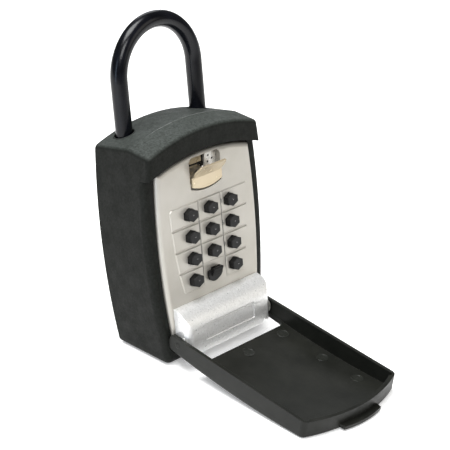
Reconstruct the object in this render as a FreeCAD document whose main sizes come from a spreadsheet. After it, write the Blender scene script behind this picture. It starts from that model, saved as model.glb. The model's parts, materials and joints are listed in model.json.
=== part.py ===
import FreeCAD, Part
import math
import os
import re
from FreeCAD import Placement, Rotation, Vector

# Key lock box with a push-button door, a hinged weather cover and a coated shackle.
# Case frame: X to the right, Y to the back, Z up along the face, with the origin in the
# middle of the back bottom edge. LEAN then stands the case on its sloped bottom.

doc = FreeCAD.newDocument("key_lock_box")
sheet = doc.addObject("Spreadsheet::Sheet", "sizes")

SIZES = {
    # the case and its rubber jacket
    "lean_angle": 10.8,
    "case_depth": 37.5,
    "brow_depth": 41.5,
    "case_half": 45.5,
    "case_widest": 71.0,
    "side_radius": 406.0,
    "top_radius": 125.0,
    "top_back": 124.0,
    "top_crest": 125.2,
    "crest_depth": 26.5,
    "top_front": 122.0,
    "lip_height": 109.9,
    "jacket_wall": 3.1,
    "shell_front": 36.0,
    "shell_wall": 3.6,
    "block_low": 96.0,
    "block_front": 19.2,
    # the door and its keypad
    "door_half": 38.2,
    "door_widest": 66.0,
    "door_radius": 391.0,
    "door_face": 40.0,
    "door_back": 37.0,
    "skirt_back": 34.0,
    "door_low": 0.5,
    "door_top": 108.6,
    "door_gap": 0.6,
    "door_round": 2.8,
    "pad_rise": 0.65,
    "column_pitch": 15.875,
    "row_pitch": 12.7,
    "top_row": 76.0,
    "button_half": 3.9,
    "button_tip": 44.1,
    "button_travel": 1.6,
    # the hinge, the barrel over it and the weather cover
    "hinge_depth": 44.5,
    "hinge_height": 7.0,
    "pin_radius": 1.5,
    "running_gap": 0.05,
    "lug_middle": 28.5,
    "barrel_half": 33.7,
    "barrel_soft": 4.5,
    "barrel_front": 50.0,
    "barrel_top": 26.3,
    "arm_inner": 34.9,
    "arm_outer": 37.3,
    "arm_radius": 6.7,
    "cover_half": 38.2,
    "cover_length": 93.8,
    "cover_arch": 7.7,
    "cover_rim": 4.2,
    "cover_floor": 3.4,
    "cover_skin": 2.2,
    "cover_wall": 2.0,
    "cover_crown": 2.8,
    "cover_slot": 15.5,
    # the shackle
    "shackle_half": 28.75,
    "shackle_depth": 9.0,
    "bend_height": 149.8,
    "rod_radius": 3.97,
    "sleeve_radius": 4.75,
    "sleeve_low": 119.4,
    "toe_low": 100.5,
    "heel_low": 71.0,
    "notch_top": 106.4,
    # the mechanism behind the keypad
    "works_half": 27.5,
    "works_low": 30.3,
    "works_high": 84.7,
    "works_back": 19.5,
    "stud_radius": 2.8,
    # the latch
    "latch_depth": 36.5,
    "latch_height": 90.5,
    "latch_half": 12.2,
    "latch_top": 106.5,
}
for row, (word, amount) in enumerate(SIZES.items(), start=1):
    sheet.set(f"A{row}", word)
    sheet.set(f"B{row}", str(amount))
    sheet.setAlias(f"B{row}", word)
doc.recompute()


def size(word):
    return float(sheet.get(word))


def cells(formula):
    """Turn a formula in plain words into one that names the sheet's cells."""
    return re.sub(r"[a-z][a-z_]*", lambda found: "sizes." + found.group(0), str(formula))


def number(formula):
    """The value of a formula written in the sheet's words."""
    obj = doc.addObject("App::FeaturePython", "reckoner")
    obj.addProperty("App::PropertyFloat", "value")
    obj.setExpression("value", cells(formula))
    doc.recompute([obj])
    found = float(obj.value)
    doc.removeObject(obj.Name)
    return found


nodes = {}
slope = math.tan(math.radians(size("lean_angle")))
hinge_y = -size("hinge_depth")
hinge_z = size("hinge_height")
LEAN = Placement(Vector(0, 16.0, 0), Rotation(Vector(1, 0, 0), -size("lean_angle")))


def keep(label, shape, local=Placement()):
    """Name a finished piece and set it in its place in the leaning case."""
    shape.Label = label
    nodes[label] = (shape, local)
    return shape


def box(name, low, high):
    """A box between two corners, each given as three formulas."""
    made = doc.addObject("Part::Box", name)
    for prop, axis, start, end in zip(("Length", "Width", "Height"), "xyz", low, high):
        made.setExpression(prop, f"({cells(end)}) - ({cells(start)})")
        made.setExpression(f"Placement.Base.{axis}", cells(start))
    return made


TURNS = {
    "x": Rotation(Vector(0, 1, 0), 90),
    "y": Rotation(Vector(1, 0, 0), 90),
    "z": Rotation(),
}


def rod(name, axis, base, radius, length):
    """A cylinder from base along +X, -Y or +Z, sized by formulas."""
    made = doc.addObject("Part::Cylinder", name)
    made.Placement = Placement(Vector(), TURNS[axis])
    for letter, start in zip("xyz", base):
        made.setExpression(f"Placement.Base.{letter}", cells(start))
    made.setExpression("Radius", cells(radius))
    made.setExpression("Height", cells(length))
    return made


def path(start, *steps):
    """Closed edges from start: a step is an end point, or a pair (via, end) for an arc."""
    edges = []
    here = Vector(*start, 0)
    for step in steps + (start,):
        if isinstance(step[0], tuple):
            via, end = (Vector(*point, 0) for point in step)
            edges.append(Part.Arc(here, via, end))
        else:
            end = Vector(*step, 0)
            if end.distanceToPoint(here) < 1e-6:
                continue
            edges.append(Part.LineSegment(here, end))
        here = end
    return edges


def sketched(body, name, role, offset, edges):
    """A sketch on one of the body's own origin planes, moved along its normal."""
    sketch = body.newObject("Sketcher::SketchObject", name)
    plane = next(item for item in body.Origin.OriginFeatures if item.Role == role)
    sketch.AttachmentSupport = [(plane, "")]
    sketch.MapMode = "FlatFace"
    sketch.AttachmentOffset = Placement(Vector(0, 0, offset), Rotation())
    for edge in edges:
        sketch.addGeometry(edge, False)
    return sketch


def front_pad(name, edges, back, front, taper=0):
    """A front view outline padded from depth back to depth front, both in words."""
    body = doc.addObject("PartDesign::Body", name)
    sketch = sketched(body, name + "_outline", "XZ_Plane", number(back), edges)
    pad = body.newObject("PartDesign::Pad", name + "_pad")
    pad.Profile = sketch
    pad.TaperAngle = taper
    pad.setExpression("Length", f"({cells(front)}) - ({cells(back)})")
    return body


def side_pad(name, edges, half):
    """A side view outline padded to both sides of the middle."""
    body = doc.addObject("PartDesign::Body", name)
    sketch = sketched(body, name + "_outline", "YZ_Plane", 0, edges)
    pad = body.newObject("PartDesign::Pad", name + "_pad")
    pad.Profile = sketch
    pad.Midplane = True
    pad.setExpression("Length", f"2 * ({cells(half)})")
    return body


def upright_pad(name, edges, low, high):
    """A plan view outline padded from one height to another."""
    body = doc.addObject("PartDesign::Body", name)
    sketch = sketched(body, name + "_outline", "XY_Plane", number(low), edges)
    pad = body.newObject("PartDesign::Pad", name + "_pad")
    pad.Profile = sketch
    pad.setExpression("Length", f"({cells(high)}) - ({cells(low)})")
    return body


def turned(name, radii_heights):
    """A body of revolution about its own Z axis from (radius, height) points."""
    body = doc.addObject("PartDesign::Body", name)
    sketch = sketched(body, name + "_profile", "XZ_Plane", 0, path(*radii_heights))
    revolution = body.newObject("PartDesign::Revolution", name + "_turn")
    revolution.Profile = sketch
    revolution.ReferenceAxis = (sketch, ["V_Axis"])
    revolution.Angle = 360
    return body


def placed(source, name, base, rotation=Rotation()):
    """A copy of a body set at another place."""
    copy = doc.addObject("Part::Feature", name)
    doc.recompute()
    copy.Shape = source.Shape.copy()
    copy.Placement = Placement(Vector(*base), rotation)
    return copy


def fuse(name, *pieces):
    made = doc.addObject("Part::MultiFuse", name)
    made.Shapes = list(pieces)
    return made


def group(name, *pieces):
    """Several separate solids kept as one node."""
    made = doc.addObject("Part::Compound", name)
    made.Links = list(pieces)
    return made


def cut(name, base, *tools):
    made = doc.addObject("Part::Cut", name)
    made.Base = base
    made.Tool = tools[0] if len(tools) == 1 else fuse(name + "_tools", *tools)
    return made


def common(name, first, second):
    made = doc.addObject("Part::Common", name)
    made.Base = first
    made.Tool = second
    return made


def rounded(name, base, radius, wanted):
    """Fillet the edges whose middle point passes the test."""
    doc.recompute()
    chosen = []
    for index, edge in enumerate(base.Shape.Edges, start=1):
        first, last = edge.ParameterRange
        middle = edge.valueAt((first + last) / 2)
        if wanted(middle, edge):
            chosen.append((index, radius, radius))
    made = doc.addObject("Part::Fillet", name)
    made.Base = base
    made.Edges = chosen
    doc.recompute()
    if made.Shape.isNull() or not made.Shape.isValid():
        raise ValueError(f"{name}: fillet failed on {len(chosen)} edges")
    return made


def bow(z, half, widest, radius):
    """Half width of an outline whose sides are wide arcs."""
    return half - (z - widest) ** 2 / (2 * radius)


def case_half(z):
    return bow(z, size("case_half"), size("case_widest"), size("side_radius"))


def door_half(z):
    return bow(z, size("door_half"), size("door_widest"), size("door_radius"))


def bowed_outline(half, inset, low, top):
    """Outline with bowed sides, a flat bottom at low and an arched top."""
    x = half(top) - inset
    for _ in range(30):
        corner = top - x * x / (2 * size("top_radius"))
        x = half(corner) - inset
    foot = half(low) - inset
    middle = (low + corner) / 2
    waist = half(middle) - inset
    return path(
        (-foot, low),
        (foot, low),
        ((waist, middle), (x, corner)),
        ((0, top), (-x, corner)),
        ((-waist, middle), (-foot, low)),
    )


# ---------------------------------------------------------------- rubber jacket
def sloped_block(name, inset, low, top, back, front):
    """A block with the case's bowed sides, cut off below by the sloped bottom."""
    sides = front_pad(name + "_sides", bowed_outline(case_half, inset, -size("brow_depth"), top), back, front)
    under = path((5, low + 5 * slope), (-60, low - 60 * slope), (-60, -80), (5, -80))
    return cut(name, sides, side_pad(name + "_under", under, "case_half + 9"))


def roof(name, far_depth, far_top):
    """Everything under an arch that runs from the crest to a height at another depth."""
    crest = Vector(0, -size("crest_depth"), size("top_crest"))
    tilt = math.atan((far_top - crest.z) / (-far_depth - crest.y))
    wide = size("case_half") + 15
    drop = wide**2 / (2 * size("top_radius"))
    edges = path((-wide, -200), (wide, -200), (wide, -drop), ((0, 0), (-wide, -drop)))
    under = front_pad(name, edges, "-60", "60")
    under.Placement = Placement(crest, Rotation(Vector(1, 0, 0), math.degrees(tilt)))
    return under


def make_jacket():
    block = sloped_block("jacket_block", 0, 0, size("top_crest") + 5, "0", "brow_depth")
    rear = common("jacket_rear", block, roof("roof_rear", 0, size("top_back")))
    whole = common("jacket_whole", rear, roof("roof_front", size("brow_depth"), size("top_front")))
    wide = size("case_half") + 5
    lip = size("lip_height")
    drop = wide**2 / (2 * size("top_radius"))
    below = path((-wide, -30), (wide, -30), (wide, lip - drop), ((0, lip), (-wide, lip - drop)))
    stepped = cut("jacket_stepped", whole, front_pad("below_brow", below, "case_depth", "brow_depth + 2"))
    face = -size("case_depth")

    def runs_back(edge):
        ends = [vertex.Point for vertex in edge.Vertexes]
        return abs(ends[0].y - ends[-1].y) > 10

    def foot_edges(mid, edge):
        upright = abs(mid.y - face) < 0.2 and abs(mid.x) > 37 and 5 < mid.z < 100
        front = abs(mid.y - face) < 0.2 and abs(mid.x) < 5 and mid.z < 0
        return upright or front or runs_back(edge) and abs(mid.x) > 35 and mid.z < 20

    softened = rounded("jacket_foot_edges", stepped, 4.0, foot_edges)

    def shoulder_edges(mid, edge):
        return runs_back(edge) and abs(mid.x) > 35 and mid.z > 90

    softened = rounded("jacket_shoulder_edges", softened, 3.0, shoulder_edges)

    def brow_edges(mid, edge):
        top = abs(mid.y + size("brow_depth")) < 0.3 and mid.z > 105
        return top and mid.z > size("lip_height") + 3 or top and abs(mid.x) > 30

    softened = rounded("jacket_brow_edges", softened, 2.6, brow_edges)
    wall = size("jacket_wall")
    bay = shell_block("shell_bay", 0, "1.1", "shell_front")
    mouth = front_pad("jacket_mouth", mouth_outline(), "shell_front - 1", "brow_depth + 1")
    window = front_pad(
        "back_window", bowed_outline(case_half, 9, wall + 6, size("top_back") - 9), "-1", "2"
    )
    holes = [
        rod(
            f"shackle_hole_{side}",
            "z",
            (f"{sign} * shackle_half", "-shackle_depth", "block_low"),
            "sleeve_radius + 0.85",
            "40",
        )
        for side, sign in (("left", "-1"), ("right", "1"))
    ]
    keep("rubber_jacket", cut("jacket_shell", softened, bay, mouth, window, *holes))


def shell_block(name, gap, back, front):
    """The zinc case's outer shape, inside the jacket by a gap."""
    inset = size("jacket_wall") + gap
    return sloped_block(name, inset, inset - 0.6, size("top_back") - inset, back, front)


def mouth_outline():
    """The opening that the door closes, as wide as the door and its gap."""
    gap = size("door_gap")
    return bowed_outline(door_half, -gap, -1.0, size("door_top") + gap)


# ---------------------------------------------------------------- zinc case
def hinge_lug(name, side):
    """An ear that reaches forward from the case floor to carry the hinge pin."""
    edges = path(
        (hinge_y, hinge_z + 3.2),
        (-33, hinge_z + 2),
        (-30, -1.6),
        (-35, -1.6),
        (-36.5, 2.0),
        (hinge_y, hinge_z - 3.2),
        ((hinge_y - 3.2, hinge_z), (hinge_y, hinge_z + 3.2)),
    )
    lug = side_pad(name, edges, "2.5")
    lug.Placement = Placement(Vector(size("lug_middle") * side, 0, 0), Rotation())
    return lug


PLATE_SCREWS = [(-20, -15.6), (6.1, -6.4)]


def plate_screw_holes(label, low, length):
    return [
        rod(f"{label}_{index}", "z", (str(x), str(y), low), "1.12", length)
        for index, (x, y) in enumerate(PLATE_SCREWS)
    ]


def make_case():
    outer = shell_block("shell_outer", 0.02, "1.12", "shell_front - 0.02")
    wall = size("shell_wall")
    bay = front_pad("door_bay", mouth_outline(), "block_front", "shell_front + 1")
    shelf = "3.7"
    room = front_pad(
        "key_room",
        bowed_outline(case_half, size("jacket_wall") + wall, 1.0, size("block_low") + 4),
        shelf,
        "block_front + 1",
    )
    block = box(
        "shackle_block",
        ("-door_half + 1.5", "-block_front", "block_low"),
        ("door_half - 1.5", "-3", "block_low + 14"),
    )
    hollowed = cut("shell_hollowed", outer, bay, room)
    bodied = fuse("shell_bodied", hollowed, block, hinge_lug("left_lug", -1), hinge_lug("right_lug", 1))
    bores = [
        rod(
            f"{side}_bore",
            "z",
            (f"{sign} * shackle_half", "-shackle_depth", "block_low - 1"),
            "rod_radius + running_gap",
            "40",
        )
        for side, sign in (("toe", "-1"), ("heel", "1"))
    ]
    chamber = box("latch_chamber", ("-26.9", "-14", "block_low - 1"), ("4.2", "-4", "106.2"))
    pin_hole = rod("pin_hole", "x", ("-40", "-hinge_depth", "hinge_height"), "pin_radius + 0.01", "80")
    threads = plate_screw_holes("block_hole", "block_low - 1", "6.5")
    keep("case_housing", cut("case_shell", bodied, *bores, chamber, pin_hole, *threads))


# ---------------------------------------------------------------- shackle
def shackle_wire(toe, heel):
    """Two legs joined by a half circle, in the plane of the shackle."""
    half = size("shackle_half")
    bend = size("bend_height")
    return [
        Part.LineSegment(Vector(-half, toe, 0), Vector(-half, bend, 0)),
        Part.Arc(Vector(-half, bend, 0), Vector(0, bend + half, 0), Vector(half, bend, 0)),
        Part.LineSegment(Vector(half, bend, 0), Vector(half, heel, 0)),
    ]


def bent_bar(name, radius, toe, heel):
    """A round bar that follows the shackle's path."""
    body = doc.addObject("PartDesign::Body", name)
    spine = sketched(body, name + "_spine", "XZ_Plane", size("shackle_depth"), shackle_wire(toe, heel))
    centre = Vector(-size("shackle_half"), -size("shackle_depth"), 0)
    ring = [Part.Circle(centre, Vector(0, 0, 1), size(radius))]
    profile = sketched(body, name + "_ring", "XY_Plane", toe, ring)
    pipe = body.newObject("PartDesign::AdditivePipe", name + "_pipe")
    pipe.Profile = profile
    pipe.Spine = (spine, [])
    return body


def make_shackle():
    bar = bent_bar("shackle_bar", "rod_radius", size("toe_low"), size("heel_low"))
    flat = box(
        "toe_flat",
        ("-shackle_half + 2.4", "-shackle_depth - 5", "toe_low - 1"),
        ("-shackle_half + 6", "-shackle_depth + 5", "notch_top"),
    )
    groove = cut(
        "clip_groove",
        rod("groove_outer", "z", ("shackle_half", "-shackle_depth", "heel_low + 3"), "6", "1.3"),
        rod("groove_inner", "z", ("shackle_half", "-shackle_depth", "heel_low + 2"), "3.1", "3"),
    )
    keep("shackle_rod", cut("shackle_bar_cut", bar, flat, groove))
    low = size("sleeve_low")
    skin = bent_bar("sleeve_bar", "sleeve_radius", low, low)
    core = bent_bar("sleeve_core", "rod_radius", low - 2, low - 2)
    keep("shackle_sleeve", cut("sleeve_tube", skin, core))
    ring = rod("clip_ring", "z", ("shackle_half", "-shackle_depth", "heel_low + 3.1"), "4.95", "1.1")
    eye = rod("clip_eye", "z", ("shackle_half", "-shackle_depth", "heel_low + 2"), "3.12", "4")
    gap = box(
        "clip_gap",
        ("shackle_half - 2", "-shackle_depth - 8", "heel_low"),
        ("shackle_half + 2", "-shackle_depth - 2", "heel_low + 6"),
    )
    keep("heel_retaining_clip", cut("heel_clip", ring, eye, gap))


def coil(name, start, turns, pitch, radius, wire):
    """A helical spring standing on its own Z axis from start."""
    made = doc.addObject("Part::Feature", name)
    helix = Part.makeHelix(pitch, pitch * turns, radius)
    corners = [math.radians(45 * step + 22.5) for step in range(9)]
    ring = [Vector(radius + wire * math.cos(turn), 0, wire * math.sin(turn)) for turn in corners]
    made.Shape = Part.Wire(helix).makePipeShell([Part.makePolygon(ring)], True, True)
    made.Placement = start
    return made


def make_release():
    bar = box("release_bar", ("-26.2", "-12", "101"), ("-6", "-6", "105"))
    neck = box("release_neck", ("-15", "-10", "91.5"), ("-12", "-8", "102"))
    knob = box("release_knob", ("-17.5", "-12.5", "89"), ("-9.5", "-5.5", "92"))
    keep("shackle_release_slide", fuse("release_fused", bar, neck, knob))
    plate = box("release_plate", ("-25.4", "-17", "block_low - 1.5"), ("8", "-4.2", "block_low - 0.02"))
    slot = box("release_slot", ("-15.5", "-10.5", "block_low - 3"), ("-8", "-7.5", "block_low + 1"))
    screw = turned("plate_screw_shape", [(0, 0), (1.9, 0), (1.9, 1.1), (1.1, 1.1), (1.1, 5.5), (0, 5.5)])
    shanks = plate_screw_holes("plate_hole", "block_low - 3", "8")
    keep("release_cover_plate", cut("release_cover", plate, slot, *shanks))
    head_low = size("block_low") - 2.6
    screws = [
        placed(screw, f"plate_screw_{index}", (x, y, head_low))
        for index, (x, y) in enumerate(PLATE_SCREWS)
    ]
    keep("release_plate_screws", group("plate_screws", *screws))
    start = Placement(Vector(-5.7, -9, 103), Rotation(Vector(0, 1, 0), 90))
    keep("release_spring", coil("release_coil", start, 5, 1.85, 1.6, 0.25))


# ---------------------------------------------------------------- door
def column(index):
    return (index - 1) * size("column_pitch")


def row_height(index):
    return size("top_row") - index * size("row_pitch")


def hexagon(x, z, grow):
    """A button's outline: upright sides and a blunt point above and below."""
    half = size("button_half") + grow
    side = 1.9 + 0.5 * grow
    tip = 3.7 + grow
    return path(
        (x - half, z - side),
        (x, z - tip),
        (x + half, z - side),
        (x + half, z + side),
        (x, z + tip),
        (x - half, z + side),
    )


BUTTON_PLACES = [(c, r) for r in range(4) for c in range(3) if (c, r) != (1, 3)]
BUTTON_NAMES = ["one", "two", "three", "four", "five", "six", "seven", "eight", "nine", "zero", "enter"]
BUTTONS = [(name, column(c), row_height(r)) for name, (c, r) in zip(BUTTON_NAMES, BUTTON_PLACES)]


def cell_outline(c, r):
    """The raised pad around one button; the outer edges follow the door's sides."""
    low = row_height(r) - size("row_pitch") / 2 + 0.2
    high = row_height(r) + size("row_pitch") / 2 - 0.2

    def outer(z):
        return 30.4 - 0.0021 * (size("top_row") + 8 - z) ** 2

    left_low, left_high = {0: (-outer(low), -outer(high)), 1: (-8.0, -8.0), 2: (9.9, 9.9)}[c]
    right_low, right_high = {0: (-8.5, -8.5), 1: (9.4, 9.4), 2: (outer(low), outer(high))}[c]
    corner = 2.6
    near = corner * (1 - math.sqrt(0.5))
    steps = [(right_low, low), (right_high, high)]
    if (c, r) == (0, 0):
        steps.append((left_high + corner, high))
        steps.append(((left_high + near, high - near), (left_high, high - corner)))
    else:
        steps.append((left_high, high))
    if (c, r) == (0, 3):
        steps.append((left_low, low + corner))
        steps.append(((left_low + near, low + near), (left_low + corner, low)))
        return path((left_low + corner, low), *steps)
    return path((left_low, low), *steps)


def latch_mouth(grow):
    """The finger opening around the latch lever, with a sagging bottom."""
    half = size("latch_half") + grow
    top = size("latch_top") + grow
    return path(
        (-half, 89.0),
        ((0, 86.6 - grow), (half, 89.0)),
        (half, top - 3),
        ((half - 0.9, top - 0.9), (half - 3, top)),
        (-half + 3, top),
        ((-half + 0.9, top - 0.9), (-half, top - 3)),
    )


def make_door():
    outline = bowed_outline(door_half, 0, size("door_low"), size("door_top"))
    plate = front_pad("door_plate", outline, "skirt_back", "door_face")
    well_edges = bowed_outline(door_half, 2.4, size("door_low") - 3, size("door_top") - 2.4)
    well = front_pad("door_well", well_edges, "skirt_back - 2", "door_back")
    panel = cut("door_panel", plate, well)

    def rim(mid, edge):
        return abs(mid.y + size("door_face")) < 0.1 and (abs(mid.x) > 33 or mid.z > 104)

    panel = rounded("door_soft", panel, size("door_round"), rim)
    pads = [
        front_pad(f"pad_{c}_{r}", cell_outline(c, r), "door_face - 0.05", "door_face + pad_rise", -40)
        for c, r in BUTTON_PLACES
    ]
    openings = [
        front_pad(f"button_hole_{name}", hexagon(x, z, 0.3), "door_back - 1", "door_face + 2")
        for name, x, z in BUTTONS
    ]
    finger = front_pad("latch_opening", latch_mouth(0), "door_back - 1", "door_face + 1")
    pocket = front_pad("cup_pocket", latch_mouth(1.15), "skirt_back - 3", "door_back")
    clear = box("clear_slot", ("-2.2", "-door_face - 1", "33.4"), ("2.2", "-door_back + 1", "40.8"))
    lug_slots = [
        box(
            f"lug_slot_{side}",
            (f"{sign} * lug_middle - 3", "-door_face - 1", "-3"),
            (f"{sign} * lug_middle + 3", "-skirt_back + 1", "hinge_height + 4"),
        )
        for side, sign in (("left", "-1"), ("right", "1"))
    ]
    padded = fuse("door_padded", panel, *pads)
    holes = openings + lug_slots + [finger, pocket, clear]
    keep("door_face_plate", cut("door_drilled", padded, *holes))


def barrel_profile(inset):
    """Side view of the hinge barrel: a round shoulder, then a nearly upright front."""
    front = -size("barrel_front") + inset
    top = size("barrel_top") - inset
    back = -size("door_face") - 0.02
    return path(
        (back, top),
        ((-46.8 + 0.8 * inset, 22.7 - 0.7 * inset), (front, 13.5)),
        ((front + 0.05, 6), (front + 1.1, -0.8 - 3 * (inset > 0))),
        (back, 0.5 - 4 * (inset > 0)),
    )


def make_barrel():
    block = side_pad("barrel_block", barrel_profile(0), "barrel_half")
    half = size("barrel_half")
    soft = size("barrel_soft")
    front = -size("barrel_front") - 0.2
    plan = path(
        (-half, front + 12),
        (-half, front + soft),
        ((-half + 0.29 * soft, front + 0.29 * soft), (-half + soft, front)),
        (half - soft, front),
        ((half - 0.29 * soft, front + 0.29 * soft), (half, front + soft)),
        (half, front + 12),
    )
    outer = common("barrel_outer", block, upright_pad("barrel_plan", plan, "-5", "30"))
    inner = side_pad("barrel_core", barrel_profile(2.2), "25.4")
    ends = []
    for side, sign in (("left", -1), ("right", 1)):
        edges = path((sign * 34.5, 9.5), (sign * 25, -1.6), (sign * 34.5, -1.6))
        ends.append(front_pad(f"barrel_taper_{side}", edges, "47.6", "52"))
        slot_edges = path(
            (hinge_y - 3.4, -3),
            (-39, -3),
            (-39, hinge_z + 4),
            (hinge_y, hinge_z + 3.7),
            ((hinge_y - 2.6, hinge_z + 2.6), (hinge_y - 3.5, hinge_z)),
        )
        slot = side_pad(f"barrel_slot_{side}", slot_edges, "3")
        slot.Placement = Placement(Vector(size("lug_middle") * sign, 0, 0), Rotation())
        ends.append(slot)
    bore = rod("barrel_bore", "x", ("-40", "-hinge_depth", "hinge_height"), "pin_radius + running_gap", "80")
    band = box("badge_band", ("-19.5", "-barrel_front - 2", "5.6"), ("19.5", "-barrel_front + 0.6", "15"))
    drilled = cut("barrel_drilled", outer, inner, bore, band, *ends)
    keep("hinge_barrel", drilled)


def make_hinge():
    pin = rod("pin_round", "x", ("-arm_outer", "-hinge_depth", "hinge_height"), "pin_radius", "2 * arm_outer")
    keep("hinge_pin", rounded("pin_soft", pin, 0.4, lambda mid, edge: abs(mid.x) > size("arm_inner")))
    rings = []
    for side, start in (("left", "-arm_inner + 0.12"), ("right", "barrel_half + 0.05")):
        outer = rod(f"washer_{side}", "x", (start, "-hinge_depth", "hinge_height"), "4.4", "0.8")
        hole = rod(
            f"washer_hole_{side}",
            "x",
            (f"{start} - 1", "-hinge_depth", "hinge_height"),
            "pin_radius + running_gap",
            "3",
        )
        rings.append(cut(f"washer_ring_{side}", outer, hole))
    keep("hinge_washers", group("washers", *rings))


# ---------------------------------------------------------------- keypad
def make_buttons():
    for name, x, z in BUTTONS:
        cap = front_pad(f"cap_{name}", hexagon(x, z, 0), "door_back + 0.6", "button_tip")
        tip = -size("button_tip")
        cap = rounded(f"cap_soft_{name}", cap, 0.4, lambda mid, edge: abs(mid.y - tip) < 0.01)
        flange = rod(f"flange_{name}", "y", (str(x), "-door_back + 1.1", str(z)), "5.0", "0.9")
        neck = rod(f"neck_{name}", "y", (str(x), "-door_back + 1.1", str(z)), "3.4", "2.2")
        stem = rod(f"stem_{name}", "y", (str(x), "-25", str(z)), "1.7", "13")
        keep(f"button_{name}", fuse(f"key_{name}", cap, neck, flange, stem))


def make_clear_lever():
    edges = path(
        (-5.2, 39.6),
        (3.9, 40.8),
        ((4.8, 40.4), (5.2, 39.2)),
        ((4.6, 36.0), (1.9, 34.0)),
        ((-2.5, 33.2), (-5.0, 34.6)),
        ((-5.6, 37.1), (-5.2, 39.6)),
    )
    base = front_pad("clear_base", edges, "door_face + 0.3", "door_face + 1.9")
    ridge_edges = path((-41.5, 40.4), (-43.9, 41.2), (-44.2, 40.4), (-42.8, 37.0), (-41.5, 36.4))
    ridge = side_pad("clear_ridge", ridge_edges, "3.7")
    neck = box("clear_neck", ("-1.9", "-door_face - 1", "36.8"), ("1.9", "-door_back + 0.6", "40.0"))
    tail = box("clear_tail", ("-3.4", "-door_back + 0.3", "35.8"), ("3.4", "-door_back + 1.3", "41.4"))
    keep("clear_lever", fuse("clear_fused", base, ridge, neck, tail))


CORNERS = [(x, z) for x in (-23.2, 23.2) for z in (34.0, 80.6)]


def corner_rods(label, front, radius, length):
    """A rod at each of the mechanism case's four screw places."""
    return [
        rod(f"{label}_{index}", "y", (str(x), front, str(z)), radius, length)
        for index, (x, z) in enumerate(CORNERS)
    ]


def stud_rods(label, front, radius, length):
    """A rod behind each of the eleven buttons."""
    return [rod(f"{label}_{name}", "y", (str(x), front, str(z)), radius, length) for name, x, z in BUTTONS]


def make_mechanism():
    outer = box(
        "works_outer",
        ("-works_half", "-door_back + 0.02", "works_low"),
        ("works_half", "-works_back", "works_high"),
    )
    inner = box(
        "works_inner",
        ("-works_half + 1.5", "-door_back - 1", "works_low + 1.5"),
        ("works_half - 1.5", "-works_back - 1.5", "works_high - 1.5"),
    )
    bolt_gate = box("works_gate", ("-9.4", "-30", "works_high - 2.7"), ("9.4", "-27.6", "works_high + 1.3"))
    posts = corner_rods("post", "-20.5", "2.4", "16.45")
    walls = fuse("works_walls", cut("works_tray", outer, inner), *posts)
    holes = stud_rods("stud_hole", "-18", "stud_radius + running_gap", "5")
    holes += corner_rods("post_hole", "-18", "1.05", "9")
    keep("mechanism_case", cut("works_case", walls, bolt_gate, *holes))

    forward = Rotation(Vector(1, 0, 0), 90)
    screw = turned("works_screw_shape", [(0, 0), (2.0, 0), (2.0, 0.9), (1.0, 0.9), (1.0, 6.5), (0, 6.5)])
    head_back = -size("works_back") + 0.92
    screws = [
        placed(screw, f"works_screw_{index}", (x, head_back, z), forward)
        for index, (x, z) in enumerate(CORNERS)
    ]
    keep("mechanism_screws", group("works_screws", *screws))

    drivers = [
        box(f"stud_cut_{name}", (f"{x} - 3", "-20.2", f"{z} - 0.35"), (f"{x} + 3", "-19", f"{z} + 0.35"))
        for name, x, z in BUTTONS
    ]
    blanks = stud_rods("stud", "-19.2", "stud_radius", "4")
    studs = [cut(f"{blank.Name}_slotted", blank, driver) for blank, driver in zip(blanks, drivers)]
    keep("code_setting_studs", group("studs", *studs))

    guide = box("guide_blank", ("-25.8", "-31.2", "32"), ("25.8", "-30.2", "83"))
    corners = [
        box(f"guide_corner_{index}", (f"{x} - 3", "-32", f"{z} - 3"), (f"{x} + 3", "-29", f"{z} + 3"))
        for index, (x, z) in enumerate(CORNERS)
    ]
    stem_holes = stud_rods("guide_hole", "-29", "1.75", "4")
    keep("spring_guide_plate", cut("guide_plate", guide, *stem_holes, *corners))
    springs = [
        coil(f"spring_{name}", Placement(Vector(x, -31.45, z), forward), 4, 1.05, 2.35, 0.2)
        for name, x, z in BUTTONS
    ]
    keep("button_springs", group("springs", *springs))


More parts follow.
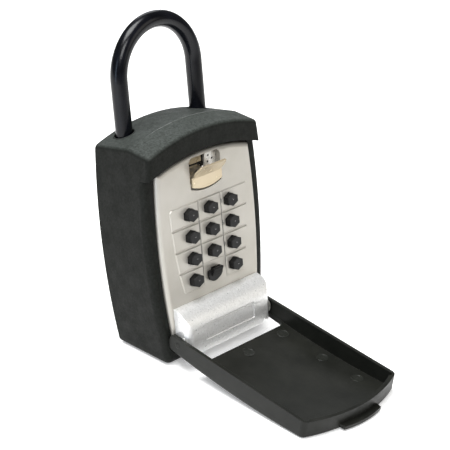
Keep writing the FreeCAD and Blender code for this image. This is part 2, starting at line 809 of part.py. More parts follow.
# ---------------------------------------------------------------- latch
def make_latch():
    half = size("latch_half")
    edges = path(
        (-40.9, 88.0),
        (-41.3, 95.0),
        (-47.3, 101.5),
        (-46.4, 102.3),
        (-40.2, 95.6),
        (-39.6, 88.0),
    )
    blade = side_pad("lever_blade", edges, "11.6")
    wing = path(
        (-11.6, 90.2),
        ((0, 87.9), (11.6, 90.2)),
        (11.6, 95.0),
        (10.6, 95.6),
        (11.3, 98.6),
        (9.2, 103.0),
        (-9.2, 103.0),
        (-11.3, 98.6),
        (-10.6, 95.6),
        (-11.6, 95.0),
    )
    trim = front_pad("lever_wings", wing, "30", "50")
    shaped = common("lever_shaped", blade, trim)
    ears = [
        box(f"lever_ear_{side}", (f"{x} - 0.6", "-40.2", "89.0"), (f"{x} + 0.6", "-35.0", "92.0"))
        for side, x in (("left", "-8.5"), ("right", "8.5"))
    ]
    hub = rod("lever_hub", "x", ("-8", "-latch_depth", "latch_height"), "1.9", "16")
    tail = box("lever_tail", ("-3", "-36", "latch_height - 0.8"), ("3", "-27.4", "latch_height + 0.8"))
    hole = rod("lever_hole", "x", ("-20", "-latch_depth", "latch_height"), "1.05", "40")
    keep("latch_lever", cut("lever_drilled", fuse("lever_fused", shaped, *ears, hub, tail), hole))
    pin = rod("lever_pin", "x", ("-11.7", "-latch_depth", "latch_height"), "1.0", "23.4")
    keep("latch_lever_pin", rounded("lever_pin_soft", pin, 0.3, lambda mid, edge: abs(mid.x) > 11))

    cup = front_pad("cup_outer", latch_mouth(1.1), "32", "door_back - 0.02")
    hollow = front_pad("cup_hollow", latch_mouth(0.3), "33", "door_back + 1")
    window = box("cup_window", ("-4", "-34", "88"), ("4", "-31", "96"))
    lugs = [
        box(f"cup_lug_{side}", (f"{x} - 0.8", "-37.9", "88.9"), (f"{x} + 0.8", "-32.5", "92.1"))
        for side, x in (("left", "-11.0"), ("right", "11.0"))
    ]
    pin_way = rod("cup_pin_way", "x", ("-20", "-latch_depth", "latch_height"), "1.02", "40")
    slit = box("cup_slit", ("2.4", "-34", "99"), ("3.6", "-31", "104.5"))
    lugged = fuse("cup_fused", cut("cup", cup, hollow), *lugs)
    keep("latch_frame", cut("cup_drilled", lugged, window, pin_way, slit))

    plate = box("bolt_plate", ("-9", "-29.4", "79"), ("9", "-28.2", "104.5"))
    nose = box("bolt_nose", ("-6", "-28.3", "101.5"), ("6", "-25.5", "104.5"))
    way = box("bolt_window", ("-3.5", "-31", "latch_height - 1.1"), ("3.5", "-27", "latch_height + 1.1"))
    keep("latch_bolt", cut("bolt_cut", fuse("bolt_fused", plate, nose), way))
    lock = box("lock_blank", ("-20.8", "-29.38", "33.4"), ("20.8", "-28.2", "78.98"))
    slots = [
        box(f"lock_slot_{name}", (str(x - 2.1), "-30", str(z - 5.4)), (str(x + 2.1), "-28", str(z + 2.2)))
        for name, x, z in BUTTONS
    ]
    keep("locking_plate", cut("lock_plate", lock, *slots))
    springs = [
        coil(f"bolt_coil_{side}", Placement(Vector(x, -28.8, 79.25), Rotation()), 3, 1.2, 0.9, 0.2)
        for side, x in (("left", -14), ("right", 14))
    ]
    keep("bolt_springs", group("bolt_coils", *springs))


# ---------------------------------------------------------------- weather cover
def cover_outline(inset, low):
    """Front view of the cover when shut: straight sides and an arched free end."""
    half = size("cover_half") - inset
    narrow = size("arm_outer") - inset
    side_end = size("cover_length") - 2.5
    end = size("cover_length") + size("cover_arch") - inset
    corner = size("cover_length") - inset + 0.9
    return path(
        (-narrow, low),
        (narrow, low),
        (half, side_end),
        ((half - 0.6, side_end + 1.9), (half - 2.6, corner)),
        ((0, end), (-half + 2.6, corner)),
        ((-half + 0.6, side_end + 1.9), (-half, side_end)),
    )


def crown(inset, low, top):
    """Side view of the cover: a flat rim behind and a crowned skin in front."""
    end = size("cover_length") + size("cover_arch") + 1
    near = -size("cover_floor") - size("cover_skin") + inset
    return path(
        (top, low),
        (near, low),
        ((near - size("cover_crown"), end / 2), (near, end)),
        (top, end),
    )


def make_cover():
    rim = size("cover_rim")
    outline = front_pad("cover_plan", cover_outline(0, -size("arm_radius")), "-6", "12")
    side = side_pad("cover_side", crown(0, -size("arm_radius"), rim), "cover_half + 1")
    solid = common("cover_solid", outline, side)

    def skin_edges(mid, edge):
        return mid.y < -size("cover_floor") - 1 and (abs(mid.x) > 36 or mid.z > 92)

    solid = rounded("cover_soft", solid, 1.8, skin_edges)
    slot = size("cover_slot")
    plan_in = front_pad("cover_plan_in", cover_outline(size("cover_wall"), 0.5), "-9", "14")
    side_in = side_pad("cover_side_in", crown(size("cover_skin"), 0.5, rim + 5), "cover_half")
    hollow = common("cover_hollow", plan_in, side_in)
    inner = size("arm_inner")
    bite = front_pad(
        "cover_bite",
        path(
            (-inner, -20),
            (inner, -20),
            (inner, slot - 4),
            ((inner - 1.17, slot - 1.17), (inner - 4, slot)),
            (-inner + 4, slot),
            ((-inner + 1.17, slot - 1.17), (-inner, slot - 4)),
        ),
        "-9",
        "14",
    )
    radius = size("arm_radius")
    corner = path(
        (-14, -14),
        (14, -14),
        (14, 0),
        (radius, 0),
        ((0, -radius), (-radius, 0)),
        (-14, 0),
    )
    arm_ends = side_pad("arm_round", corner, "cover_half + 2")
    shell = cut("cover_shell", solid, hollow, bite, arm_ends)
    tab_low = size("cover_length") + size("cover_arch") - 3.5
    tab_edges = path(
        (-16, tab_low - 1),
        (16, tab_low - 1),
        (15, tab_low + 5.6),
        ((0, tab_low + 7.4), (-15, tab_low + 5.6)),
    )
    tab = front_pad("cover_tab_plan", tab_edges, "2.6", "4.6")
    bore = rod("arm_bore", "x", ("-50", "0", "0"), "pin_radius + running_gap", "100")
    whole = cut("cover_whole", fuse("cover_tabbed", shell, tab), bore)
    laid_open = Rotation(Vector(1, 0, 0), 90 + droop())
    keep("weather_cover", whole, Placement(Vector(0, hinge_y, hinge_z), laid_open))


def droop():
    """How far below square the open cover hangs, so that its edge meets the ground."""
    reach_out = size("cover_length") + size("cover_arch")
    deep = size("cover_floor") + size("cover_skin")
    lean = math.radians(size("lean_angle"))
    pivot = -hinge_y * math.sin(lean) + hinge_z * math.cos(lean)
    fall = math.asin(pivot / math.hypot(reach_out, deep))
    return math.degrees(fall - math.atan2(deep, reach_out)) + size("lean_angle")


make_jacket()
make_case()
make_shackle()
make_release()
make_door()
make_barrel()
make_hinge()
make_buttons()
make_clear_lever()
make_mechanism()
make_latch()
make_cover()

doc.recompute()
for shape, local in nodes.values():
    shape.Placement = LEAN.multiply(local).multiply(shape.Placement)
doc.recompute()

faults = [item.Label for item in doc.Objects if {"Invalid", "Error"} & set(item.State)]
if faults:
    raise RuntimeError(f"failed objects: {faults}")
os.makedirs("parts", exist_ok=True)
for label, (shape, _) in nodes.items():
    if shape.Shape.isNull() or not shape.Shape.isValid():
        raise RuntimeError(f"{label}: bad shape")
    shape.Shape.exportStep(f"parts/{label}.step")
    bounds = shape.Shape.BoundBox
    solids = len(shape.Shape.Solids)
    print(f"{label}: {solids} solids, {shape.Shape.Volume:.0f} mm3, z {bounds.ZMin:.2f} to {bounds.ZMax:.2f}")
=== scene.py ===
import json
import math

import bmesh
import bpy
from mathutils import Matrix, Vector
from mathutils.bvhtree import BVHTree


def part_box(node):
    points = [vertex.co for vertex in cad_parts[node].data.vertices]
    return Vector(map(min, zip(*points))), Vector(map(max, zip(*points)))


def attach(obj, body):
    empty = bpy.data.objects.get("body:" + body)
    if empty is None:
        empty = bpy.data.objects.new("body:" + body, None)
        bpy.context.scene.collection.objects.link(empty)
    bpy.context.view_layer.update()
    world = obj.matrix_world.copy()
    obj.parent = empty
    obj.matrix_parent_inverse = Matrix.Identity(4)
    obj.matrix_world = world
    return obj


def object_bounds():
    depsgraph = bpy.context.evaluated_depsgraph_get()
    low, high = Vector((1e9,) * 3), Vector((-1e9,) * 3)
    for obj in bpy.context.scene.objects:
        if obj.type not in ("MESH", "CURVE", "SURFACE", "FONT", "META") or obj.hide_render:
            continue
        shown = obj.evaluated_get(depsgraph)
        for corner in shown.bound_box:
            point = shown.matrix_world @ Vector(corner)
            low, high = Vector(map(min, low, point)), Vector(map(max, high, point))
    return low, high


# Key lock box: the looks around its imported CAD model, in metres, in the row frame.

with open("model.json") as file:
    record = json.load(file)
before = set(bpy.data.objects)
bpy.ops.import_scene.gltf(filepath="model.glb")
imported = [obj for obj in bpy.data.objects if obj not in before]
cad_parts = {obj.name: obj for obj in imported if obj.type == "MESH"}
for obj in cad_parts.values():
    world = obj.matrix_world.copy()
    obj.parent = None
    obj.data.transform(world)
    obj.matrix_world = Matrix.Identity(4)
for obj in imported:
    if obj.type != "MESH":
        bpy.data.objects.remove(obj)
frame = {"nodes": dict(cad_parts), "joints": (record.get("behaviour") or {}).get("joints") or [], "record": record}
CAD_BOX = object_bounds()
MM = 0.001

joints = {joint["name"]: joint for joint in frame["joints"]}
ACROSS = Vector((1, 0, 0))
RISE = Vector(joints["shackle_lift"]["axis"])
INWARD = Vector(joints["press_one"]["axis"])
HINGE = Vector(joints["door_hinge"]["pos_m"])
HINGE_DEPTH = 44.5
HINGE_HEIGHT = 7.0


def spot(x, depth, height):
    """A point of the leaning case: right of the middle, in front of the back, up its face, in mm."""
    return HINGE + MM * (x * ACROSS - (depth - HINGE_DEPTH) * INWARD + (height - HINGE_HEIGHT) * RISE)


# ---------------------------------------------------------------- camera
camera_data = bpy.data.cameras.new("camera")
camera_data.lens = 145.15
camera_data.sensor_width = 36
camera_data.clip_start = 0.05
camera_data.clip_end = 20
camera = bpy.data.objects.new("camera", camera_data)
camera.location = (-0.66868, -0.61529, 0.51674)
camera.rotation_euler = (1.111621, -0.058548, -0.816284)
bpy.context.scene.collection.objects.link(camera)
bpy.context.scene.camera = camera


# ---------------------------------------------------------------- materials
PLASTIC_IOR = 1.5


class Paint:
    """A procedural material: one principled shader with its own noise, colour and bump."""

    def __init__(self, name, color, roughness, metallic=0.0, coat=0.0, coat_roughness=0.1, specular=0.5):
        self.material = bpy.data.materials.new(name)
        self.material.use_nodes = True
        self.tree = self.material.node_tree
        self.shader = self.tree.nodes["Principled BSDF"]
        values = {
            "Base Color": (*color, 1),
            "Roughness": roughness,
            "Metallic": metallic,
            "Coat Weight": coat,
            "Coat Roughness": coat_roughness,
            "IOR": PLASTIC_IOR,
            "Specular IOR Level": specular,
        }
        for socket, value in values.items():
            self.shader.inputs[socket].default_value = value
        self.color = color
        self.where = self.node("ShaderNodeTexCoord").outputs["Object"]
        self.normal = None

    def node(self, kind, **settings):
        made = self.tree.nodes.new(kind)
        for key, value in settings.items():
            setattr(made, key, value)
        return made

    def link(self, start, end):
        self.tree.links.new(start, end)

    def noise(self, scale, detail=3.0, rough=0.55, stretch=None):
        made = self.node("ShaderNodeTexNoise")
        made.inputs["Scale"].default_value = scale
        made.inputs["Detail"].default_value = detail
        made.inputs["Roughness"].default_value = rough
        where = self.where
        if stretch:
            mapping = self.node("ShaderNodeMapping")
            mapping.inputs["Scale"].default_value = stretch
            self.link(where, mapping.inputs["Vector"])
            where = mapping.outputs["Vector"]
        self.link(where, made.inputs["Vector"])
        return made.outputs["Fac"]

    def ramp(self, factor, low, high, start, end):
        made = self.node("ShaderNodeMapRange")
        made.inputs["From Min"].default_value = start
        made.inputs["From Max"].default_value = end
        made.inputs["To Min"].default_value = low
        made.inputs["To Max"].default_value = high
        self.link(factor, made.inputs["Value"])
        return made.outputs["Result"]

    def mottle(self, factor, other, start=0.35, end=0.65):
        """Blend the base colour towards another where the factor is high."""
        mix = self.node("ShaderNodeMix", data_type="RGBA")
        mix.inputs["A"].default_value = (*self.color, 1)
        mix.inputs["B"].default_value = (*other, 1)
        self.link(self.ramp(factor, 0, 1, start, end), mix.inputs["Factor"])
        self.link(mix.outputs["Result"], self.shader.inputs["Base Color"])
        return self

    def painted_top_light(self, other):
        """Lighten the upward surfaces with painted light from above, patchy with noise."""
        height = self.node("ShaderNodeSeparateXYZ")
        self.link(self.node("ShaderNodeNewGeometry").outputs["Normal"], height.inputs["Vector"])
        mix = self.node("ShaderNodeMix", data_type="RGBA")
        self.link(self.shader.inputs["Base Color"].links[0].from_socket, mix.inputs["A"])
        mix.inputs["B"].default_value = (*other, 1)
        share = self.node("ShaderNodeMath", operation="MULTIPLY")
        self.link(self.ramp(height.outputs["Z"], 0, 1, 0.45, 1.0), share.inputs[0])
        self.link(self.ramp(self.noise(750, 6, 0.8), 0.35, 1.15, 0.38, 0.62), share.inputs[1])
        self.link(share.outputs["Value"], mix.inputs["Factor"])
        self.link(mix.outputs["Result"], self.shader.inputs["Base Color"])
        return self

    def gloss(self, factor, low, high, start=0.3, end=0.7):
        self.link(self.ramp(factor, low, high, start, end), self.shader.inputs["Roughness"])
        return self

    def soften(self, radius_mm):
        """Round the shading at sharp edges."""
        bevel = self.node("ShaderNodeBevel", samples=4)
        bevel.inputs["Radius"].default_value = radius_mm * MM
        self.normal = bevel.outputs["Normal"]
        self.link(self.normal, self.shader.inputs["Normal"])
        return self

    def bump(self, factor, height_mm, strength=1.0):
        made = self.node("ShaderNodeBump")
        made.inputs["Strength"].default_value = strength
        made.inputs["Distance"].default_value = height_mm * MM
        self.link(factor, made.inputs["Height"])
        if self.normal:
            self.link(self.normal, made.inputs["Normal"])
        self.normal = made.outputs["Normal"]
        self.link(self.normal, self.shader.inputs["Normal"])
        return self


def rubber():
    paint = Paint("rubber", (0.0040, 0.0046, 0.0036), 0.6, specular=0.13)
    paint.mottle(paint.noise(620, 6, 0.75), (0.013, 0.0145, 0.0122), 0.36, 0.78)
    # painted top light: the jacket's upward faces are painted lighter, as if lit from above
    paint.painted_top_light((0.052, 0.059, 0.054))
    paint.gloss(paint.noise(140, 4), 0.50, 0.68)
    paint.soften(0.5)
    paint.bump(paint.noise(1100, 5, 0.75), 0.11)
    return paint.bump(paint.noise(150, 3), 0.16, 0.6).material


def vinyl():
    paint = Paint("vinyl", (0.0010, 0.0012, 0.0022), 0.18, specular=0.26)
    paint.mottle(paint.noise(90, 3), (0.003, 0.0035, 0.006))
    paint.gloss(paint.noise(60, 3), 0.17, 0.26)
    paint.bump(paint.noise(90, 2, stretch=(1, 1, 0.4)), 0.05, 0.3)
    return paint.material


def satin_silver():
    paint = Paint("door_silver", (0.435, 0.415, 0.370), 0.38, metallic=0.5)
    paint.mottle(paint.noise(35, 3), (0.485, 0.465, 0.425))
    paint.gloss(paint.noise(2600, 2), 0.34, 0.48)
    paint.soften(0.15)
    return paint.bump(paint.noise(3200, 2, 0.6), 0.012).material


def hammered_silver():
    paint = Paint("barrel_silver", (0.86, 0.86, 0.845), 0.32, metallic=0.65)
    paint.mottle(paint.noise(900, 3), (0.96, 0.96, 0.95), 0.4, 0.7)
    paint.gloss(paint.noise(1200, 3), 0.26, 0.5)
    paint.soften(0.5)
    paint.bump(paint.noise(1100, 3, 0.6), 0.2)
    return paint.bump(paint.noise(480, 2), 0.2, 0.8).material


def satin_black(name, color, lighter, low, high):
    paint = Paint(name, color, (low + high) / 2, specular=0.2)
    paint.mottle(paint.noise(45, 5, 0.7), lighter, 0.35, 0.7)
    paint.gloss(paint.noise(75, 6, 0.7, stretch=(1, 0.35, 1)), low, high, 0.35, 0.65)
    paint.soften(0.3)
    return paint.bump(paint.noise(1900, 3, 0.6), 0.02).material


def metal(name, color, low, high, grain, height, metallic=1.0, stretch=None):
    paint = Paint(name, color, (low + high) / 2, metallic=metallic)
    paint.mottle(paint.noise(120, 3), tuple(0.86 * channel for channel in color))
    paint.gloss(paint.noise(grain, 3, stretch=stretch), low, high)
    paint.soften(0.25)
    return paint.bump(paint.noise(grain, 3, stretch=stretch), height).material


FINISHES = {
    "rubber": rubber(),
    "case_metal": metal("case_metal", (0.16, 0.16, 0.17), 0.42, 0.6, 700, 0.05, 0.6),
    "plated_steel": metal("plated_steel", (0.62, 0.62, 0.60), 0.22, 0.38, 500, 0.012, stretch=(1, 1, 9)),
    "screw_steel": metal("screw_steel", (0.52, 0.52, 0.53), 0.25, 0.4, 900, 0.01),
    "spring_steel": metal("spring_steel", (0.55, 0.55, 0.57), 0.18, 0.3, 1200, 0.005),
    "vinyl": vinyl(),
    "door_silver": satin_silver(),
    "barrel_silver": hammered_silver(),
    "mechanism_metal": metal("mechanism_metal", (0.42, 0.42, 0.43), 0.4, 0.6, 600, 0.05, 0.8),
    "brass": metal("brass", (0.75, 0.56, 0.27), 0.2, 0.35, 800, 0.008),
    "chrome": metal("chrome", (0.86, 0.84, 0.80), 0.10, 0.2, 160, 0.01, 0.9),
    "cover_plastic": satin_black(
        "cover_plastic", (0.0065, 0.0070, 0.0055), (0.0125, 0.0130, 0.0105), 0.30, 0.50
    ),
    "button_plastic": satin_black(
        "button_plastic", (0.006, 0.006, 0.006), (0.010, 0.010, 0.010), 0.28, 0.42
    ),
}
lever_paint = Paint("lever_nickel", (0.50, 0.42, 0.29), 0.3, metallic=0.55)
lever_paint.mottle(lever_paint.noise(70, 2), (0.54, 0.46, 0.33))
lever_paint.gloss(lever_paint.noise(300, 3), 0.2, 0.28)
lever_paint.soften(0.3)
lever_finish = lever_paint.bump(lever_paint.noise(160, 2), 0.006).material
for part in frame["record"]["subparts"]:
    mesh = frame["nodes"][part["node"]].data
    mesh.materials.clear()
    mesh.materials.append(lever_finish if part["node"] == "latch_lever" else FINISHES[part["material_slot"]])


# ---------------------------------------------------------------- shapes
def add(name, mesh, slot, body, finish=None):
    obj = bpy.data.objects.new(name, mesh)
    bpy.context.scene.collection.objects.link(obj)
    mesh.materials.clear()
    mesh.materials.append(finish or FINISHES[slot])
    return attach(obj, body)


def revolved(name, profile, centre, axis, sides=40):
    """A turned piece: (radius, height) points in mm about an axis."""
    turn = Vector((0, 0, 1)).rotation_difference(axis).to_matrix()
    build = bmesh.new()
    rings = []
    for radius, height in profile:
        ring = []
        for side in range(sides):
            angle = 2 * math.pi * side / sides
            local = Vector((radius * math.cos(angle), radius * math.sin(angle), height)) * MM
            ring.append(build.verts.new(centre + turn @ local))
        rings.append(ring)
    for low, high in zip(rings, rings[1:]):
        for side in range(sides):
            after = (side + 1) % sides
            build.faces.new((low[side], low[after], high[after], high[side]))
    build.faces.new(reversed(rings[0]))
    build.faces.new(rings[-1])
    return finished(name, build)


def finished(name, build, smooth=True):
    bmesh.ops.recalc_face_normals(build, faces=build.faces)
    mesh = bpy.data.meshes.new(name)
    build.to_mesh(mesh)
    build.free()
    for face in mesh.polygons:
        face.use_smooth = smooth
    return mesh


def bead(name, points, radius_mm, closed=False, sides=8):
    """A thin round bead along points."""
    build = bmesh.new()
    rings = []
    count = len(points)
    for index, point in enumerate(points):
        before = points[index - 1] if closed or index else point
        after = points[(index + 1) % count] if closed or index < count - 1 else point
        along = (after - before).normalized()
        first = along.orthogonal().normalized()
        if abs(along.z) < 0.95:
            first = along.cross(Vector((0, 0, 1))).normalized()
        second = along.cross(first)
        taper = 1.0 if closed else min(1.0, 0.15 + index / 6, 0.15 + (count - 1 - index) / 6)
        ring = []
        for side in range(sides):
            angle = 2 * math.pi * side / sides
            out = first * math.cos(angle) + second * math.sin(angle)
            ring.append(build.verts.new(point + out * radius_mm * MM * taper))
        rings.append(ring)
    pairs = list(zip(rings, rings[1:])) + ([(rings[-1], rings[0])] if closed else [])
    for low, high in pairs:
        for side in range(sides):
            after = (side + 1) % sides
            build.faces.new((low[side], low[after], high[after], high[side]))
    if not closed:
        build.faces.new(reversed(rings[0]))
        build.faces.new(rings[-1])
    return finished(name, build)


def surface(node):
    """A tree to cast rays at a CAD node."""
    mesh = frame["nodes"][node].data
    corners = [vertex.co.copy() for vertex in mesh.vertices]
    return BVHTree.FromPolygons(corners, [tuple(face.vertices) for face in mesh.polygons])


# ---------------------------------------------------------------- keypad
KEYS = ["one", "two", "three", "four", "five", "six", "seven", "eight", "nine", "zero", "enter"]
DIGITS = "1234567890"
DIGIT_HEIGHT = 2.7
DIGIT_GAP = 6.3
PAD_SURFACE = 40.5
INK = 0.03
# Where the painted shade beads lie in the gaps between the key columns.
GAP_SHADE_DEPTH = 40.02
GAP_SHADE_LOW = 31.8
GAP_SHADE_LENGTH = 50.6
GAP_SHADE_STEPS = 24
GATE_DEPTH = 44.06
GATE_PROFILE = [(0.62, 0.0), (0.55, 0.10), (0.36, 0.19), (0.15, 0.24), (0.02, 0.25)]


def key_place(name, shift, depth):
    """A point in front of a button's middle, moved sideways, in mm of the case."""
    low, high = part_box("button_" + name)
    middle = (low + high) / 2
    height = (middle - HINGE).dot(RISE) / MM + HINGE_HEIGHT
    return spot(middle.x / MM + shift, depth, height)


def digit_mesh(text):
    """A flat printed digit, raised by the thickness of its ink."""
    curve = bpy.data.curves.new("digit", "FONT")
    curve.body = text
    curve.size = DIGIT_HEIGHT / 0.7
    curve.extrude = INK
    curve.align_x = "CENTER"
    curve.align_y = "CENTER"
    holder = bpy.data.objects.new("digit", curve)
    bpy.context.scene.collection.objects.link(holder)
    bpy.context.view_layer.update()
    mesh = bpy.data.meshes.new_from_object(holder)
    bpy.data.objects.remove(holder)
    return mesh


ink = satin_black("ink", (0.10, 0.10, 0.10), (0.16, 0.16, 0.155), 0.5, 0.65)
for digit, name in zip(DIGITS, KEYS):
    place = key_place(name, -DIGIT_GAP, PAD_SURFACE + INK)
    turn = Matrix((ACROSS, RISE, -INWARD)).transposed().to_4x4()
    mesh = digit_mesh(digit)
    mesh.transform(Matrix.Translation(place) @ turn @ Matrix.Scale(MM, 4))
    add(f"digit_{name}", mesh, "button_plastic", "door", ink)

# painted shade: dark beads along the gaps between the key columns, where shade falls between the raised pads
gap_shade = Paint("pad_gap_shade", (0.13, 0.13, 0.125), 0.5, metallic=0.4)
gap_shade.gloss(gap_shade.noise(2000, 2), 0.4, 0.6)
for side, x in (("left", -8.15), ("right", 9.75)):
    points = [
        spot(x, GAP_SHADE_DEPTH, GAP_SHADE_LOW + GAP_SHADE_LENGTH * step / GAP_SHADE_STEPS)
        for step in range(GAP_SHADE_STEPS + 1)
    ]
    add(f"pad_gap_shade_{side}", bead("gap_shade", points, 0.2), "door_silver", "door", gap_shade.material)

gate = Paint("gate_mark", (0.02, 0.02, 0.02), 0.12, coat=1.0, coat_roughness=0.05)
gate.gloss(gate.noise(2000, 2), 0.08, 0.2)
gate.bump(gate.noise(3000, 2), 0.01)
for name in KEYS:
    mesh = revolved("gate_mark", GATE_PROFILE, key_place(name, 0, GATE_DEPTH), -INWARD, 20)
    add(f"gate_mark_{name}", mesh, "button_plastic", "key_" + name, gate.material)


# ---------------------------------------------------------------- jacket
jacket = surface("rubber_jacket")
ABOVE_JACKET = 150
CREST_DEPTH = 26.5
CREST_HALF = 30
CREST_STEPS = 48
SHACKLE_DEPTH = 9.0
SHACKLE_HALF_SPACING = 28.75
LIP_RING = 6.0
LIP_STEPS = 40
LIP_SINK = 0.15


def jacket_top(x, depth):
    """The jacket's top surface above a point of the case."""
    return jacket.ray_cast(spot(x, depth, ABOVE_JACKET), -RISE)[0]


crest = [
    jacket_top(-CREST_HALF + 2 * CREST_HALF * step / CREST_STEPS, CREST_DEPTH)
    for step in range(CREST_STEPS + 1)
]
# painted highlight: a lighter bead along the jacket's crest, where its rounded edge catches the light
painted_crest_highlight = Paint("painted_crest_highlight_rubber", (0.16, 0.168, 0.163), 0.6, specular=0.3)
painted_crest_highlight.mottle(painted_crest_highlight.noise(300, 4), (0.055, 0.060, 0.057))
painted_crest_highlight.bump(painted_crest_highlight.noise(1500, 3), 0.04)
add("jacket_crest_line", bead("crest", crest, 0.2), "rubber", "case", painted_crest_highlight.material)

for side, middle in (("left", -SHACKLE_HALF_SPACING), ("right", SHACKLE_HALF_SPACING)):
    ring = []
    for step in range(LIP_STEPS):
        angle = 2 * math.pi * step / LIP_STEPS
        x = middle + LIP_RING * math.cos(angle)
        depth = SHACKLE_DEPTH + LIP_RING * math.sin(angle)
        ring.append(jacket_top(x, depth) - LIP_SINK * MM * RISE)
    add(f"shackle_hole_lip_{side}", bead("lip", ring, 0.42, closed=True), "rubber", "case")


# ---------------------------------------------------------------- weather cover
mark_finish = satin_black("mark_plastic", (0.012, 0.013, 0.011), (0.022, 0.023, 0.020), 0.2, 0.32)
tray = surface("weather_cover")
tray_low, tray_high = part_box("weather_cover")
# Each mark's place: mm right of the middle, and its share of the way from the hinge to the free edge.
EJECTOR_MARKS = ((27.0, 0.25), (-3.0, 0.26), (28.5, 0.505), (28.5, 0.735))
EJECTOR_PROFILE = [(3.6, -0.1), (3.55, 0.18), (3.3, 0.24), (3.05, 0.12), (2.9, 0.03), (0.02, 0.03)]
PIN_END = 37.2
PIN_CAP_PROFILE = [(1.9, 0.0), (1.85, 0.15), (1.6, 0.26), (1.1, 0.33), (0.5, 0.36), (0.02, 0.37)]
for number, (x, share) in enumerate(EJECTOR_MARKS, start=1):
    y = tray_high.y + (tray_low.y - tray_high.y) * share
    found, normal = tray.ray_cast(Vector((x * MM, y, tray_high.z + 0.05)), Vector((0, 0, -1)))[:2]
    if normal.z < 0:
        normal = -normal
    mesh = revolved("mark", EJECTOR_PROFILE, found, normal)
    add(f"ejector_mark_{number}", mesh, "cover_plastic", "cover", mark_finish)

for side, sign in (("left", -1), ("right", 1)):
    place = spot(sign * PIN_END, HINGE_DEPTH, HINGE_HEIGHT)
    mesh = revolved("cap", PIN_CAP_PROFILE, place, sign * ACROSS)
    add(f"hinge_pin_cap_{side}", mesh, "cover_plastic", "case")


# ---------------------------------------------------------------- barrel badge and latch
def plate_mesh(name, across, low, high, depth, thick, corner):
    """A thin plate with rounded corners and a soft edge, facing forward."""
    shift = sum(across) / 2
    half_width = (across[1] - across[0]) / 2
    soft = min(0.15, 0.2 * corner)
    outline = []
    for base, sx, sz in ((0, 1, 1), (90, -1, 1), (180, -1, -1), (270, 1, -1)):
        cx = sx * (half_width - corner)
        cz = (high - corner) if sz > 0 else (low + corner)
        for step in range(7):
            angle = math.radians(base + 15 * step)
            outline.append((cx + corner * math.cos(angle), cz + corner * math.sin(angle)))
    build = bmesh.new()
    middle = (low + high) / 2
    rings = []
    for inset, forward in ((0, -0.2), (0, thick - soft), (soft, thick)):
        ring = []
        for x, z in outline:
            scale_x = (half_width - inset) / half_width
            scale_z = ((high - low) / 2 - inset) / ((high - low) / 2)
            height = middle + (z - middle) * scale_z
            ring.append(build.verts.new(spot(shift + x * scale_x, depth + forward, height)))
        rings.append(ring)
    count = len(outline)
    for first, second in zip(rings, rings[1:]):
        for index in range(count):
            after = (index + 1) % count
            build.faces.new((first[index], first[after], second[after], second[index]))
    build.faces.new(rings[-1])
    return finished(name, build, smooth=False)


badge = plate_mesh("badge", (-19.0, 19.0), 6.1, 14.5, 49.3, 0.35, 1.2)
add("barrel_badge", badge, "barrel_silver", "door")

recess_steel = metal("recess_steel", (0.70, 0.69, 0.66), 0.2, 0.34, 300, 0.01, 0.45)
recess_gold = metal("recess_gold", (0.50, 0.43, 0.31), 0.25, 0.4, 300, 0.01, 0.5)
# painted shade: a dark finish standing for the shade in the latch recess's gaps and dimples
recess_painted_shade = satin_black("recess_painted_shade", (0.006, 0.006, 0.006), (0.012, 0.011, 0.010), 0.4, 0.6)
# Each piece in the recess: its sides, bottom, top, depth, thickness, corner radius and finish.
RECESS = {
    "latch_plate": ((3.0, 12.2), 97.0, 106.3, 36.0, 0.9, 2.4, recess_steel),
    "latch_bar": ((-8.4, 0.6), 101.9, 105.6, 35.9, 0.9, 0.5, recess_gold),
    "latch_stop": ((-12.1, -9.2), 96.5, 105.9, 35.9, 1.1, 0.9, recess_steel),
    # painted shade: two dark strips stand for the shadowed gaps under and beside the latch bar
    "latch_gap_shade_across": ((-8.8, 2.6), 100.5, 102.0, 35.4, 0.4, 0.3, recess_painted_shade),
    "latch_gap_shade_upright": ((0.7, 2.9), 98.5, 105.6, 35.4, 0.4, 0.3, recess_painted_shade),
}
for name, (*sizes, finish) in RECESS.items():
    add(name, plate_mesh(name, *sizes), "chrome", "door", finish)
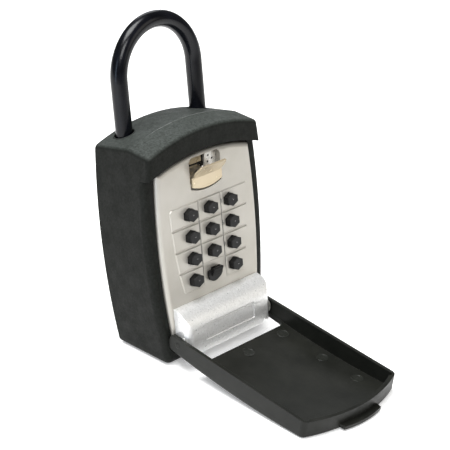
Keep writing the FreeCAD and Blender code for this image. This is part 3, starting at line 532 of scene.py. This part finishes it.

# painted shade: each dimple is a dark disc standing for the shade in a small hollow of the latch plate
DIMPLES = ((6.0, 103.6), (8.9, 101.4), (5.4, 100.2))
DIMPLE_DEPTH = 36.9
DIMPLE_PROFILE = [(0.62, 0.0), (0.6, 0.05), (0.4, 0.07), (0.02, 0.02)]
for number, (x, height) in enumerate(DIMPLES, start=1):
    mesh = revolved("dimple", DIMPLE_PROFILE, spot(x, DIMPLE_DEPTH, height), -INWARD, 16)
    add(f"latch_dimple_{number}", mesh, "chrome", "door", recess_painted_shade)


# ---------------------------------------------------------------- floor and light
def plane(name, size, location):
    build = bmesh.new()
    bmesh.ops.create_grid(build, x_segments=1, y_segments=1, size=size / 2)
    mesh = finished(name, build, smooth=False)
    obj = bpy.data.objects.new(name, mesh)
    obj.location = location
    bpy.context.scene.collection.objects.link(obj)
    return obj


floor_paint = Paint("floor", (0.93, 0.93, 0.925), 0.6)
floor_paint.gloss(floor_paint.noise(8, 2), 0.55, 0.65)
floor_paint.shader.inputs["Emission Color"].default_value = (1, 1, 1, 1)
floor_paint.shader.inputs["Emission Strength"].default_value = 0.3
floor = plane("floor", 8, (0, 0, min(0.0, CAD_BOX[0][2]) - 0.0002))
floor.data.materials.append(floor_paint.material)


def lamp(name, place, aim, width, height, power, color=(1, 1, 1)):
    data = bpy.data.lights.new(name, "AREA")
    data.shape = "RECTANGLE"
    data.size = width
    data.size_y = height
    data.energy = power
    data.color = color
    obj = bpy.data.objects.new(name, data)
    obj.location = place
    obj.rotation_euler = (Vector(aim) - Vector(place)).to_track_quat("-Z", "Y").to_euler()
    bpy.context.scene.collection.objects.link(obj)


CENTRE = (0, -0.01, 0.08)
lamp("key", (-0.85, -0.9, 1.3), CENTRE, 0.7, 0.7, 15)
lamp("fill", (0.7, -1.3, 0.7), CENTRE, 0.8, 0.8, 3, (1.0, 0.94, 0.84))
lamp("top", (-0.25, 0.2, 1.6), CENTRE, 1.0, 1.0, 40)
lamp("side", (-1.4, -0.1, 0.35), CENTRE, 0.3, 0.9, 3.2, (0.60, 0.78, 1.0))
lamp("back", (0.9, 1.1, 0.8), CENTRE, 0.8, 0.8, 3, (0.93, 0.96, 1.0))

world = bpy.data.worlds.new("studio")
bpy.context.scene.world = world
world.use_nodes = True
world.node_tree.nodes["Background"].inputs["Color"].default_value = (1, 1, 1, 1)
world.node_tree.nodes["Background"].inputs["Strength"].default_value = 0.16
bpy.context.scene.view_settings.view_transform = "Standard"
